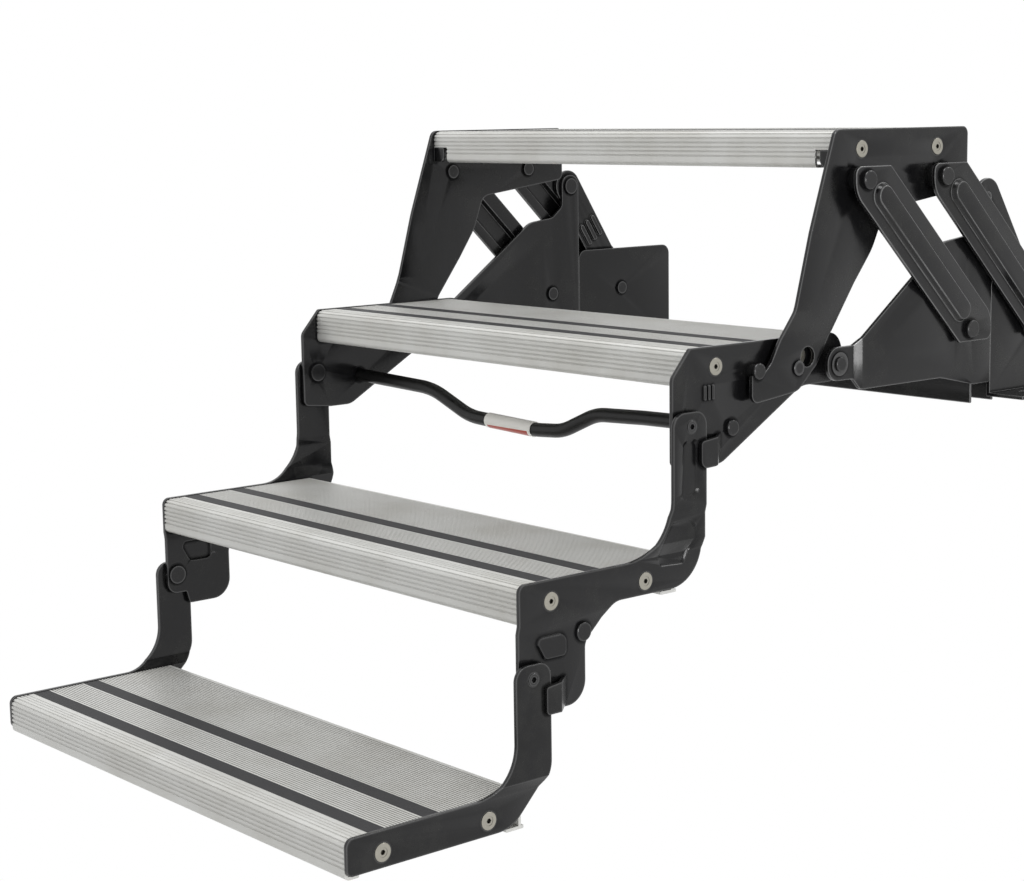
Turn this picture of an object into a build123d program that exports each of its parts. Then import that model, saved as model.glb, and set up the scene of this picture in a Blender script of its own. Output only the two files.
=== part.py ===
"""Camper entry step: four folding treads that swing on two pairs of links.

Millimetres. X runs across the step with 0 at its middle, Y runs rearwards to the
vehicle, and Z is up. The origin lies between the four mounting bolts, on the lower
face of the base flanges. Side views are drawn as (y, z) from the lowest tread's corner.
"""
import os
from math import atan2
from math import cos
from math import degrees
from math import hypot
from math import pi
from math import radians
from math import sin

from build123d import *

os.makedirs("parts", exist_ok=True)

# Rise and run of the flight, from each tread's front top corner to the next one up
run_4_to_3 = 197.0
rise_4_to_3 = 189.5
run_3_to_2 = 214.0
rise_3_to_2 = 195.5
run_2_to_1 = 192.0
rise_2_to_1 = 202.5

# Treads: extruded aluminium
tread_half = 301.0
tread_depth = 199.0
tread_wall = 3.0
nose_height = 37.0
nose_round = 9.0
nose_lip = 15.0
rear_foot = 21.0
rib_pitch = 3.5
rib_groove = 1.4
rib_depth = 0.6
nose_setback = 0.5
nose_groove = 1.0
nose_groove_pitch = 4.6
nose_groove_first = 3.6
nose_groove_count = 7
port_front = 38.5
port_rear = 157.6
port_drop = 19.0
port_radius = 7.0
port_web = 8.0
notch_length = 24.0
notch_depth = 36.0
notch_height = 18.0

# Grip strips laid in shallow channels of the treads
grip_width = 18.0
grip_thick = 1.4
grip_channel = 1.1
grip_front = 27.0
grip_rear = 87.0
grip_end_gap = 1.0

# Screws that hold each tread to its side plates
screw_radius = 3.0
screw_length = 22.0
screw_head_radius = 8.5
screw_head_thick = 2.0
screw_proud = 0.6
screw_socket = 2.6
screw_dish = 4.6
screw_play = 0.2

# Steel sheet and the layers of the side plates, counted outwards
sheet = 4.0
leg_step = 5.0
leg_3_step = 2.0
ear_step = 2.0
foot_gap = 7.0
bracket_step = 5.0
tab_gap = 4.0
base_step = 5.0
dish_height = 4.0
link_gap = 1.0
side_gap = 0.5
face_gap = 0.2
plate_lip = 1.0
front_play = 0.3

# Pivots and pins
pin_radius = 6.0
running_play = 0.05
rivet_head = 10.0
rivet_head_thick = 2.5
link_head = 9.5
link_head_thick = 5.0
spacer_radius = 11.0
stud_radius = 5.0
stud_head = 7.5
stud_head_thick = 1.6
stop_stud_radius = 6.5
stop_stud_head = 8.0
stop_stud_reach = 3.0
notch_play = 0.3

# Pivots, each behind and below the front top corner of its tread
hinge_4_back = 12.0
hinge_4_drop = 86.5
hinge_3_ahead = 1.0
hinge_3_drop = 72.4
stud_back = 144.0
stud_drop = 29.0
stop_stud_back = 86.0
stop_stud_drop = 27.0
tab_behind_tread = 3.0
handle_back = 60.0
handle_drop = 80.4
link_top_back = 28.0
link_top_drop = 49.0

# Links
link_run = 168.0
link_fall = 161.0
link_spread = 122.0
link_end = 13.5
link_narrow_side = 17.0
link_wide_side = 36.0
link_rib_width = 26.0
link_rib_height = 6.0
link_rib_end = 28.0
link_rib_shift = 4.0

# Legs of steps 3 and 4
leg_4_half = 20.8
leg_3_half = 22.0
leg_round = 14.0
leg_over = 14.0

# Pull handle
handle_radius = 7.5
handle_bolt_radius = 4.0
handle_bolt_depth = 22.0
handle_bolt_head = 8.0
handle_bolt_head_thick = 4.0
handle_lean = 0.33
band_from = -50.0
band_to = 26.0
band_wall = 0.8

# Base frame
side_plate_length = 164.0
side_plate_height = 130.0
post_back = 33.0
post_rise = 136.5
flange_width = 47.0
bolt_line = 25.0
mount_back = 14.0
mount_drop = 77.5
mount_along = 110.0
mount_hole = 5.5
cross_depth = 40.0
cross_height = 30.0
cross_wall = 3.0
brace_width = 40.0
brace_rib_width = 6.0
brace_rib_height = 3.0


def from_point(point, dy, dz):
    """A (y, z) point at a distance from another."""
    return (point[0] + dy, point[1] + dz)


# Front top corners of the treads, lowest first
tread_4 = (0.0, 0.0)
tread_3 = from_point(tread_4, run_4_to_3, rise_4_to_3)
tread_2 = from_point(tread_3, run_3_to_2, rise_3_to_2)
tread_1 = from_point(tread_2, run_2_to_1, rise_2_to_1)

# Pivots
hinge_4 = from_point(tread_3, hinge_4_back, -hinge_4_drop)
hinge_3 = from_point(tread_2, -hinge_3_ahead, -hinge_3_drop)
stud_pivot = from_point(tread_2, stud_back, -stud_drop)
stop_stud = from_point(tread_2, stop_stud_back, -stop_stud_drop)
tab_pivot = from_point(tread_2, tread_depth - tab_behind_tread, -stud_drop)
handle_end = from_point(tread_2, handle_back, -handle_drop)
front_top = from_point(tread_1, link_top_back, -link_top_drop)
rear_top = from_point(front_top, link_spread, 0)
leg_root = from_point(tread_1, 36, -48)
front_low = from_point(front_top, link_run, -link_fall)
rear_low = from_point(front_low, link_spread, 0)
post_top = from_point(front_low, post_back, post_rise)
mount = from_point(rear_low, mount_back, -mount_drop)

# Layers of sheet, each named by its inner face
plate_x = tread_half
leg_x = plate_x + leg_step
leg_3_x = leg_x + leg_3_step
ear_x = plate_x - ear_step
stop_3_x = leg_x + sheet + side_gap
stop_2_x = leg_3_x + sheet + side_gap
foot_x = plate_x + sheet + foot_gap
bracket_x = foot_x + bracket_step
tread_1_half = bracket_x
tab_x = foot_x + sheet + tab_gap
base_x = tab_x + base_step
brace_x = base_x + sheet
link_x = base_x + sheet + dish_height + link_gap

mount_across = 2 * (base_x + bolt_line)
reach = 2 * mount_across
side = Plane(origin=(0, -mount[0], -mount[1]), x_dir=(0, 1, 0), z_dir=(1, 0, 0))
front = Plane(origin=(0, -mount[0], -mount[1]), x_dir=(1, 0, 0), z_dir=(0, -1, 0))
plan = Plane(origin=(0, -mount[0], -mount[1]), x_dir=(1, 0, 0), z_dir=(0, 0, 1))


def round_bar(centre, radius, x_from, x_to):
    """A round solid along X about a (y, z) centre."""
    with BuildPart() as bar:
        with BuildSketch(side.offset(x_from)):
            with Locations(centre):
                Circle(radius)
        extrude(amount=x_to - x_from)
    return bar.part


def blank(corners, radii, x_from, x_to):
    """A flat piece cut to a (y, z) outline, each corner with its own radius."""
    with BuildPart() as piece:
        with BuildSketch(side.offset(x_from)):
            with BuildLine():
                FilletPolyline(*corners, radius=radii, close=True)
            make_face()
        extrude(amount=x_to - x_from)
    return piece.part


def pressing(corners, radii, x_from, height, slope=35):
    """A pad with sloped sides that stands on the face at x_from."""
    with BuildPart() as pad:
        with BuildSketch(side.offset(x_from)):
            with BuildLine():
                FilletPolyline(*corners, radius=radii, close=True)
            make_face()
        extrude(amount=height, taper=slope)
    return pad.part


def level_folds(stations, thick=sheet):
    """A sheet folded along level lines: (height, inner face X) from the bottom up."""
    inner = [(x, z) for z, x in stations]
    outer = [(x + thick, z) for z, x in reversed(stations)]
    with BuildPart() as form:
        with BuildSketch(front):
            with BuildLine():
                Polyline(*inner, *outer, close=True)
            make_face()
        extrude(amount=reach, both=True)
    return form.part


def upright_folds(stations):
    """A sheet folded along upright lines: (y, inner face X) from the front back."""
    inner = [(x, y) for y, x in stations]
    outer = [(x + sheet, y) for y, x in reversed(stations)]
    with BuildPart() as form:
        with BuildSketch(plan):
            with BuildLine():
                Polyline(*inner, *outer, close=True)
            make_face()
        extrude(amount=reach, both=True)
    return form.part


def screw_points(corner):
    """The two screw ports of a tread, as (y, z)."""
    return [
        from_point(corner, port_front, -port_drop),
        from_point(corner, port_rear, -port_drop),
    ]


def screw_seat(centre, outer_x):
    """What a tread screw takes out of the sheet it passes through."""
    with BuildPart() as seat:
        add(round_bar(centre, screw_radius + screw_play, outer_x - sheet, outer_x))
        seat_floor = outer_x - screw_head_thick + screw_proud
        add(round_bar(centre, screw_head_radius + screw_play, seat_floor, outer_x))
    return seat.part


def screw(centre, outer_x):
    """Flat-headed tread screw with a hexagon socket."""
    head_top = outer_x + screw_proud
    head_low = head_top - screw_head_thick
    with BuildPart() as body:
        add(round_bar(centre, screw_head_radius, head_low, head_top))
        edge = body.edges().filter_by(GeomType.CIRCLE).sort_by(Axis.X)[-1]
        chamfer(edge, screw_proud / 2)
        add(round_bar(centre, screw_radius, head_low - screw_length, head_low))
        with BuildSketch(side.offset(head_top)):
            with Locations(centre):
                Circle(screw_dish)
        extrude(amount=-screw_proud / 2, mode=Mode.SUBTRACT)
        with BuildSketch(side.offset(head_top)):
            with Locations(centre):
                RegularPolygon(screw_socket, 6)
        extrude(amount=-1.5 * screw_head_thick, mode=Mode.SUBTRACT)
    return body.part


def nose_point(corner, along):
    """A point on the nose's face, by its distance down the face from the round's upper end."""
    y = corner[0] + nose_setback
    z = corner[1]
    arc = nose_round * pi / 2
    if along < 0:
        return (y + nose_round - along, z)
    if along < arc:
        turn = along / nose_round
        return (y + nose_round * (1 - sin(turn)), z - nose_round * (1 - cos(turn)))
    return (y, z - nose_round - (along - arc))


def tread(corner, half):
    """Ribbed tread: nose, top, rear wall with its foot, and two screw ports."""
    y, z = corner
    back = y + tread_depth
    low = z - nose_height
    nose = y + nose_setback
    inner = nose + tread_wall
    outline = [
        (nose, z),
        (back, z),
        (back, low + tread_wall),
        (back + tread_wall, low + tread_wall),
        (back + tread_wall, low),
        (back + tread_wall - rear_foot, low),
        (back + tread_wall - rear_foot, low + tread_wall),
        (back - tread_wall, low + tread_wall),
        (back - tread_wall, z - tread_wall),
        (inner, z - tread_wall),
        (inner, low + tread_wall),
        (nose + nose_lip, low + tread_wall),
        (nose + nose_lip, low),
        (nose, low),
    ]
    inner_round = nose_round - tread_wall
    radii = [nose_round, 2, 0, 0, 1, 1, 0, 0, 1, inner_round, 2, 0, 1, 2 + tread_wall]
    channels = [(y + grip_front, y + grip_front + grip_width),
                (y + grip_rear, y + grip_rear + grip_width)]
    fine_from = y + grip_front + grip_width + rib_pitch
    fine_count = int((back - fine_from - rib_pitch) / rib_pitch)
    fine = [fine_from + i * rib_pitch for i in range(fine_count)]
    clear = [g for g in fine
             if all(g < a - rib_groove or g > b + rib_groove for a, b in channels)]
    top_grooves = int((grip_front - nose_round) / nose_groove_pitch)
    grooves = [nose_point(corner, nose_groove_first + i * nose_groove_pitch)
               for i in range(-top_grooves, nose_groove_count)]
    with BuildPart() as body:
        with BuildSketch(side.offset(-half)):
            with BuildLine():
                FilletPolyline(*outline, radius=radii, close=True)
            make_face()
            for port in screw_points(corner):
                with Locations(port):
                    Circle(port_radius)
                with Locations(from_point(port, 0, (port_drop - tread_wall) / 2)):
                    Rectangle(port_web, port_drop - tread_wall + rib_depth)
            with Locations(*screw_points(corner)):
                Circle(screw_radius + screw_play, mode=Mode.SUBTRACT)
            with Locations(*[(g, z) for g in clear]):
                Rectangle(rib_groove, 2 * rib_depth, mode=Mode.SUBTRACT)
            with Locations(*[((a + b) / 2, z) for a, b in channels]):
                Rectangle(grip_width, 2 * grip_channel, mode=Mode.SUBTRACT)
            with Locations(*grooves):
                Circle(nose_groove, mode=Mode.SUBTRACT)
        extrude(amount=2 * half)
    return body.part


def grip_strips(corner, half):
    """Two black grip strips, standing a little above the tread."""
    y, z = corner
    starts = [y + grip_front, y + grip_rear]
    with BuildPart() as strips:
        with BuildSketch(side.offset(grip_end_gap - half)):
            for start in starts:
                with Locations((start + grip_width / 2, z - grip_channel + grip_thick / 2)):
                    Rectangle(grip_width, grip_thick)
        extrude(amount=2 * (half - grip_end_gap))
    return strips.part


def tread_screws(corner, outer_x):
    """The four screws of one tread."""
    with BuildPart() as screws:
        for point in screw_points(corner):
            add(screw(point, outer_x))
        mirror(screws.part, about=Plane.YZ)
    return screws.part


# Step 4: the lowest tread with its side plates, each ending in an upright leg
leg_4_front = hinge_4[0] - leg_4_half
leg_4_rear = hinge_4[0] + leg_4_half
leg_4_top = hinge_4[1] + leg_over
plate_4_corners = [
    from_point(tread_4, front_play, plate_lip),
    from_point(tread_4, front_play, 4 - nose_height),
    from_point(tread_4, tread_depth - 14, 4 - nose_height),
    (leg_4_rear, tread_4[1] + 12),
    (leg_4_rear, leg_4_top),
    (leg_4_front, leg_4_top),
    (leg_4_front, tread_4[1] + plate_lip),
]
plate_4_radii = [8, 6, 40, 30, leg_round, leg_round, 45]
leg_4_folds = [
    (tread_4[1] - 2 * nose_height, plate_x),
    (tread_4[1], plate_x),
    (tread_4[1] + 10, leg_x),
    (leg_4_top + sheet, leg_x),
]
with BuildPart() as step_4_plate_right:
    add(blank(plate_4_corners, plate_4_radii, plate_x - sheet, leg_x + 2 * sheet))
    add(level_folds(leg_4_folds), mode=Mode.INTERSECT)
    for point in screw_points(tread_4):
        add(screw_seat(point, plate_x + sheet), mode=Mode.SUBTRACT)
    add(round_bar(hinge_4, pin_radius + running_play, leg_x, leg_x + sheet), mode=Mode.SUBTRACT)
step_4_plate_right.part.label = "step_4_plate_right"
export_step(step_4_plate_right.part, "parts/step_4_plate_right.step")

with BuildPart() as step_4_plate_left:
    mirror(step_4_plate_right.part, about=Plane.YZ)
step_4_plate_left.part.label = "step_4_plate_left"
export_step(step_4_plate_left.part, "parts/step_4_plate_left.step")

with BuildPart() as lowest_tread:
    add(tread(tread_4, tread_half))
lowest_tread.part.label = "tread_4"
export_step(lowest_tread.part, "parts/tread_4.step")

with BuildPart() as tread_4_grip_strips:
    add(grip_strips(tread_4, tread_half))
tread_4_grip_strips.part.label = "tread_4_grip_strips"
export_step(tread_4_grip_strips.part, "parts/tread_4_grip_strips.step")

with BuildPart() as tread_4_screws:
    add(tread_screws(tread_4, plate_x + sheet))
tread_4_screws.part.label = "tread_4_screws"
export_step(tread_4_screws.part, "parts/tread_4_screws.step")

# Step 3: side plates with an ear in front for step 4's hinge and a leg behind
leg_3_front = hinge_3[0] - leg_3_half - 2
leg_3_rear = hinge_3[0] + leg_3_half - 2
leg_3_top = hinge_3[1] + leg_over
ear_bottom = hinge_4[1] - 21
stop_3_bottom = hinge_4[1] - 35
strip_bottom = tread_3[1] + 5 - nose_height
plate_3_corners = [
    from_point(tread_3, front_play, plate_lip),
    (tread_3[0] + front_play, ear_bottom),
    (hinge_4[0] + 12, ear_bottom),
    (hinge_4[0] + 16, stop_3_bottom),
    (hinge_4[0] + 69.5, stop_3_bottom),
    (hinge_4[0] + 69.5, hinge_4[1] + 22),
    (hinge_4[0] + 105, strip_bottom),
    (leg_3_rear, strip_bottom),
    (leg_3_rear, leg_3_top),
    (leg_3_front, leg_3_top),
    (leg_3_front, tread_3[1] + plate_lip),
]
plate_3_radii = [8, 12, 2, 3, 22, 14, 24, 42, leg_round, leg_round, 55]
ear_fold = tread_3[1] - nose_height
plate_3_folds = [
    (stop_3_bottom - sheet, ear_x),
    (ear_fold - 8, ear_x),
    (ear_fold, plate_x),
    (tread_3[1] + 2, plate_x),
    (tread_3[1] + 14, leg_x),
    (tread_3[1] + 38, leg_x),
    (tread_3[1] + 46, leg_3_x),
    (leg_3_top + sheet, leg_3_x),
]
ear_pad = [
    (hinge_4[0] + 5, hinge_4[1] + 36),
    (hinge_4[0] + 46, hinge_4[1] + 36),
    (hinge_4[0] + 46, hinge_4[1] + 13),
    (hinge_4[0] + 18, hinge_4[1] + 13),
]
ear_pad_radii = [6, 9, 6, 7]
leg_3_low_pad = [
    (hinge_3[0] - 46, tread_3[1] + 1),
    (hinge_3[0] - 24, tread_3[1] + 34),
    (hinge_3[0] + 7, tread_3[1] + 34),
    (hinge_3[0] + 10, tread_3[1] + 6),
    (hinge_3[0] - 1, tread_3[1] - 16),
    (hinge_3[0] - 40, tread_3[1] - 14),
]
leg_3_low_pad_radii = [10, 10, 10, 14, 10, 10]
leg_3_high_pad = [
    (leg_3_front + 8, tread_3[1] + 54),
    (leg_3_front + 12, hinge_3[1] - 12),
    (leg_3_rear - 9, hinge_3[1] - 12),
    (leg_3_rear - 9, tread_3[1] + 54),
]
leg_3_high_pad_radii = [5, 7, 9, 9]
press_depth = 2.2
low_pad_slope = 50
high_pad_slope = 60
stop_3_front = hinge_4[0] + 12
stop_3_fold = stop_3_front + 18
stop_3_rear = stop_3_fold + 16
stop_3_corners = [
    (stop_3_front, stop_3_bottom),
    (stop_3_front, hinge_4[1] - 9),
    (stop_3_rear, hinge_4[1] - 5),
    (stop_3_rear, stop_3_bottom + 4),
    (stop_3_fold, stop_3_bottom),
]
stop_3_folds = [
    (stop_3_front - sheet, stop_3_x),
    (stop_3_fold, stop_3_x),
    (stop_3_rear, ear_x),
]
with BuildPart() as stop_3_form:
    add(blank(stop_3_corners, [4, 3, 1, 1, 8], ear_x, stop_3_x + 2 * sheet))
    add(upright_folds(stop_3_folds), mode=Mode.INTERSECT)

low_pad_floor = [(z, x + sheet - press_depth) for z, x in plate_3_folds]
low_pad_sink = leg_step + press_depth
with BuildPart() as low_pad_form:
    add(pressing(leg_3_low_pad, leg_3_low_pad_radii, leg_x + sheet, -low_pad_sink, low_pad_slope))
    add(level_folds(low_pad_floor, 3 * sheet), mode=Mode.INTERSECT)

with BuildPart() as step_3_plate_right:
    add(blank(plate_3_corners, plate_3_radii, ear_x - sheet, leg_3_x + 2 * sheet))
    add(level_folds(plate_3_folds), mode=Mode.INTERSECT)
    add(pressing(ear_pad, ear_pad_radii, ear_x + sheet, press_depth))
    add(pressing(ear_pad, ear_pad_radii, ear_x, press_depth), mode=Mode.SUBTRACT)
    add(low_pad_form.part, mode=Mode.SUBTRACT)
    add(
        pressing(leg_3_high_pad, leg_3_high_pad_radii, leg_3_x + sheet, -press_depth, high_pad_slope),
        mode=Mode.SUBTRACT,
    )
    add(stop_3_form.part)
    for point in screw_points(tread_3):
        add(screw_seat(point, plate_x + sheet), mode=Mode.SUBTRACT)
    add(round_bar(hinge_4, pin_radius, ear_x, ear_x + sheet), mode=Mode.SUBTRACT)
    add(round_bar(hinge_3, pin_radius + running_play, leg_3_x, leg_3_x + sheet), mode=Mode.SUBTRACT)
step_3_plate_right.part.label = "step_3_plate_right"
export_step(step_3_plate_right.part, "parts/step_3_plate_right.step")

with BuildPart() as step_3_plate_left:
    mirror(step_3_plate_right.part, about=Plane.YZ)
step_3_plate_left.part.label = "step_3_plate_left"
export_step(step_3_plate_left.part, "parts/step_3_plate_left.step")

with BuildPart() as third_tread:
    add(tread(tread_3, tread_half))
third_tread.part.label = "tread_3"
export_step(third_tread.part, "parts/tread_3.step")

with BuildPart() as tread_3_grip_strips:
    add(grip_strips(tread_3, tread_half))
tread_3_grip_strips.part.label = "tread_3_grip_strips"
export_step(tread_3_grip_strips.part, "parts/tread_3_grip_strips.step")

with BuildPart() as tread_3_screws:
    add(tread_screws(tread_3, plate_x + sheet))
tread_3_screws.part.label = "tread_3_screws"
export_step(tread_3_screws.part, "parts/tread_3_screws.step")

# Buttons riveted to the ears, which step 4's leg passes in front of
bump_radius = 9.0
bump_height = 2.5
bump = from_point(hinge_4, 67, 32)
with BuildPart() as step_3_bump_stops:
    add(round_bar(bump, bump_radius, ear_x + sheet, ear_x + sheet + bump_height))
    edge = step_3_bump_stops.edges().filter_by(GeomType.CIRCLE).sort_by(Axis.X)[-1]
    fillet(edge, bump_height / 2)
    mirror(step_3_bump_stops.part, about=Plane.YZ)
step_3_bump_stops.part.label = "step_3_bump_stops"
export_step(step_3_bump_stops.part, "parts/step_3_bump_stops.step")


def hinge_rivet(centre, inner_x, outer_x):
    """A rivet through two plates: a flat head inside, and a hexagon socket outside."""
    with BuildPart() as rivet:
        add(round_bar(centre, pin_radius, inner_x, outer_x + screw_proud))
        edge = rivet.edges().filter_by(GeomType.CIRCLE).sort_by(Axis.X)[-1]
        chamfer(edge, screw_proud / 2)
        add(round_bar(centre, rivet_head, inner_x - rivet_head_thick, inner_x))
        with BuildSketch(side.offset(outer_x + screw_proud)):
            with Locations(centre):
                RegularPolygon(pin_radius / 2, 6)
        extrude(amount=-rivet_head_thick, mode=Mode.SUBTRACT)
    return rivet.part


def ring(centre, outer, inner, x_from, x_to):
    """A washer or spacer along X."""
    with BuildPart() as body:
        add(round_bar(centre, outer, x_from, x_to))
        add(round_bar(centre, inner, x_from, x_to), mode=Mode.SUBTRACT)
    return body.part


washer_radius = 12.0
with BuildPart() as step_4_pivot_rivets:
    add(hinge_rivet(hinge_4, ear_x, leg_x + sheet))
    mirror(step_4_pivot_rivets.part, about=Plane.YZ)
step_4_pivot_rivets.part.label = "step_4_pivot_rivets"
export_step(step_4_pivot_rivets.part, "parts/step_4_pivot_rivets.step")

with BuildPart() as step_4_pivot_washers:
    add(ring(hinge_4, washer_radius, pin_radius, ear_x + sheet, leg_x - face_gap))
    mirror(step_4_pivot_washers.part, about=Plane.YZ)
step_4_pivot_washers.part.label = "step_4_pivot_washers"
export_step(step_4_pivot_washers.part, "parts/step_4_pivot_washers.step")

with BuildPart() as step_3_pivot_rivets:
    add(hinge_rivet(hinge_3, plate_x, leg_3_x + sheet))
    mirror(step_3_pivot_rivets.part, about=Plane.YZ)
step_3_pivot_rivets.part.label = "step_3_pivot_rivets"
export_step(step_3_pivot_rivets.part, "parts/step_3_pivot_rivets.step")

with BuildPart() as step_3_pivot_washers:
    add(ring(hinge_3, washer_radius, pin_radius, plate_x + sheet, leg_3_x - face_gap))
    mirror(step_3_pivot_washers.part, about=Plane.YZ)
step_3_pivot_washers.part.label = "step_3_pivot_washers"
export_step(step_3_pivot_washers.part, "parts/step_3_pivot_washers.step")

# Step 2: side plates that carry the tread, the handle and step 3's hinge
plate_2_front = hinge_3[0] - 19
plate_2_rear = tread_2[0] + tread_depth + 22
plate_2_bottom = hinge_3[1] - 41.6
plate_2_corners = [
    from_point(tread_2, 4, plate_lip),
    (plate_2_front, tread_2[1] - 26),
    (plate_2_front, plate_2_bottom + 4),
    (hinge_3[0] + 18, plate_2_bottom),
    (hinge_3[0] + 47, plate_2_bottom),
    (hinge_3[0] + 162, tread_2[1] - 49),
    (plate_2_rear, tread_2[1] - 49),
    (plate_2_rear, tread_2[1] + plate_lip),
]
plate_2_radii = [4, 10, 6, 18, 24, 30, 20, 20]
stop_2_front = hinge_3[0] + 9
stop_2_fold = stop_2_front + 22
stop_2_rear = stop_2_fold + 16
stop_2_corners = [
    (stop_2_front, plate_2_bottom),
    (stop_2_front, hinge_3[1] - 15),
    (stop_2_rear, hinge_3[1] - 11),
    (stop_2_rear, plate_2_bottom + 14),
    (stop_2_fold, plate_2_bottom + 1),
]
stop_2_folds = [
    (stop_2_front - sheet, stop_2_x),
    (stop_2_fold, stop_2_x),
    (stop_2_rear, plate_x),
]
with BuildPart() as stop_2_form:
    add(blank(stop_2_corners, [8, 4, 1, 1, 12], plate_x, stop_2_x + 2 * sheet))
    add(upright_folds(stop_2_folds), mode=Mode.INTERSECT)

louvre = from_point(tread_2, 28, -43)
louvre_height = 15.0
louvre_bar = 4.0
louvre_pitch = 5.5
louvre_proud = 2.0
with BuildPart() as step_2_plate_right:
    add(blank(plate_2_corners, plate_2_radii, plate_x, plate_x + sheet))
    with BuildSketch(side.offset(plate_x + sheet)):
        with Locations(*[from_point(louvre, i * louvre_pitch, 0) for i in (-1, 0, 1)]):
            RectangleRounded(louvre_bar, louvre_height, louvre_bar / 3)
    extrude(amount=louvre_proud, taper=15)
    add(stop_2_form.part)
    for point in screw_points(tread_2):
        add(screw_seat(point, plate_x + sheet), mode=Mode.SUBTRACT)
    add(round_bar(hinge_3, pin_radius, plate_x, plate_x + sheet), mode=Mode.SUBTRACT)
    add(round_bar(stud_pivot, stud_radius, plate_x, plate_x + sheet), mode=Mode.SUBTRACT)
    add(round_bar(handle_end, handle_bolt_radius, plate_x, plate_x + sheet), mode=Mode.SUBTRACT)
step_2_plate_right.part.label = "step_2_plate_right"
export_step(step_2_plate_right.part, "parts/step_2_plate_right.step")

with BuildPart() as step_2_plate_left:
    mirror(step_2_plate_right.part, about=Plane.YZ)
step_2_plate_left.part.label = "step_2_plate_left"
export_step(step_2_plate_left.part, "parts/step_2_plate_left.step")

with BuildPart() as second_tread:
    add(tread(tread_2, tread_half))
second_tread.part.label = "tread_2"
export_step(second_tread.part, "parts/tread_2.step")

with BuildPart() as tread_2_grip_strips:
    add(grip_strips(tread_2, tread_half))
tread_2_grip_strips.part.label = "tread_2_grip_strips"
export_step(tread_2_grip_strips.part, "parts/tread_2_grip_strips.step")

with BuildPart() as tread_2_screws:
    add(tread_screws(tread_2, plate_x + sheet))
tread_2_screws.part.label = "tread_2_screws"
export_step(tread_2_screws.part, "parts/tread_2_screws.step")

# Pivot studs of step 2 in the feet of the step 1 brackets, and their spacers
with BuildPart() as step_2_pivot_studs:
    add(round_bar(stud_pivot, stud_radius, plate_x, foot_x + sheet + face_gap))
    head_x = foot_x + sheet + face_gap
    add(round_bar(stud_pivot, stud_head, head_x, head_x + stud_head_thick))
    edge = step_2_pivot_studs.edges().filter_by(GeomType.CIRCLE).sort_by(Axis.X)[-1]
    fillet(edge, stud_head_thick / 2)
    mirror(step_2_pivot_studs.part, about=Plane.YZ)
step_2_pivot_studs.part.label = "step_2_pivot_studs"
export_step(step_2_pivot_studs.part, "parts/step_2_pivot_studs.step")

stud_spacer_radius = 8.0
with BuildPart() as step_2_pivot_spacers:
    add(ring(stud_pivot, stud_spacer_radius, stud_radius, plate_x + sheet, foot_x - face_gap))
    mirror(step_2_pivot_spacers.part, about=Plane.YZ)
step_2_pivot_spacers.part.label = "step_2_pivot_spacers"
export_step(step_2_pivot_spacers.part, "parts/step_2_pivot_spacers.step")

# Stop studs of step 2, which lie in the notches of those feet
with BuildPart() as step_2_stop_studs:
    head_x = foot_x + sheet + front_play
    add(round_bar(stop_stud, stop_stud_radius, plate_x + sheet, head_x))
    add(round_bar(stop_stud, stop_stud_head, head_x, head_x + stop_stud_reach))
    edge = step_2_stop_studs.edges().filter_by(GeomType.CIRCLE).sort_by(Axis.X)[-1]
    fillet(edge, stop_stud_reach / 2)
    mirror(step_2_stop_studs.part, about=Plane.YZ)
step_2_stop_studs.part.label = "step_2_stop_studs"
export_step(step_2_stop_studs.part, "parts/step_2_stop_studs.step")

# Pull handle: a bent bar between the plates, drawn in a plane that leans forward
lean = hypot(handle_lean, 1)
handle_plane = Plane(
    origin=(0, handle_end[0] - mount[0], handle_end[1] - mount[1]),
    x_dir=(1, 0, 0),
    z_dir=(0, -1 / lean, handle_lean / lean),
)
handle_points = [
    (-plate_x, 0),
    (-160, -4),
    (-84, -28.5),
    (30, -32),
    (70, -29),
    (115, -6.5),
    (185, -3),
    (plate_x, 0),
]
handle_bends = [150, 120, 120, 60, 60, 120]
with BuildPart() as pull_handle:
    with BuildLine(handle_plane) as handle_path:
        FilletPolyline(*handle_points, radius=handle_bends)
    with BuildSketch(Plane(handle_path.line @ 0, z_dir=handle_path.line % 0)):
        Circle(handle_radius)
    sweep()
    add(round_bar(handle_end, 2 * handle_radius, plate_x, plate_x + sheet), mode=Mode.SUBTRACT)
    add(round_bar(handle_end, 2 * handle_radius, -plate_x - sheet, -plate_x), mode=Mode.SUBTRACT)
    for end_x in (plate_x - handle_bolt_depth, -plate_x):
        bolt_hole = round_bar(handle_end, handle_bolt_radius, end_x, end_x + handle_bolt_depth)
        add(bolt_hole, mode=Mode.SUBTRACT)
pull_handle.part.label = "pull_handle"
export_step(pull_handle.part, "parts/pull_handle.step")

# Band wrapped round the middle of the handle
with BuildPart() as pull_handle_band:
    with BuildLine(handle_plane) as band_path:
        FilletPolyline(*handle_points, radius=handle_bends)
    with BuildSketch(Plane(band_path.line @ 0, z_dir=band_path.line % 0)):
        Circle(handle_radius + band_wall)
        Circle(handle_radius, mode=Mode.SUBTRACT)
    sweep()
    with BuildSketch(side.offset(band_from)):
        with Locations(handle_end):
            Circle(12 * handle_radius)
    extrude(amount=band_to - band_from, mode=Mode.INTERSECT)
pull_handle_band.part.label = "pull_handle_band"
export_step(pull_handle_band.part, "parts/pull_handle_band.step")

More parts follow.
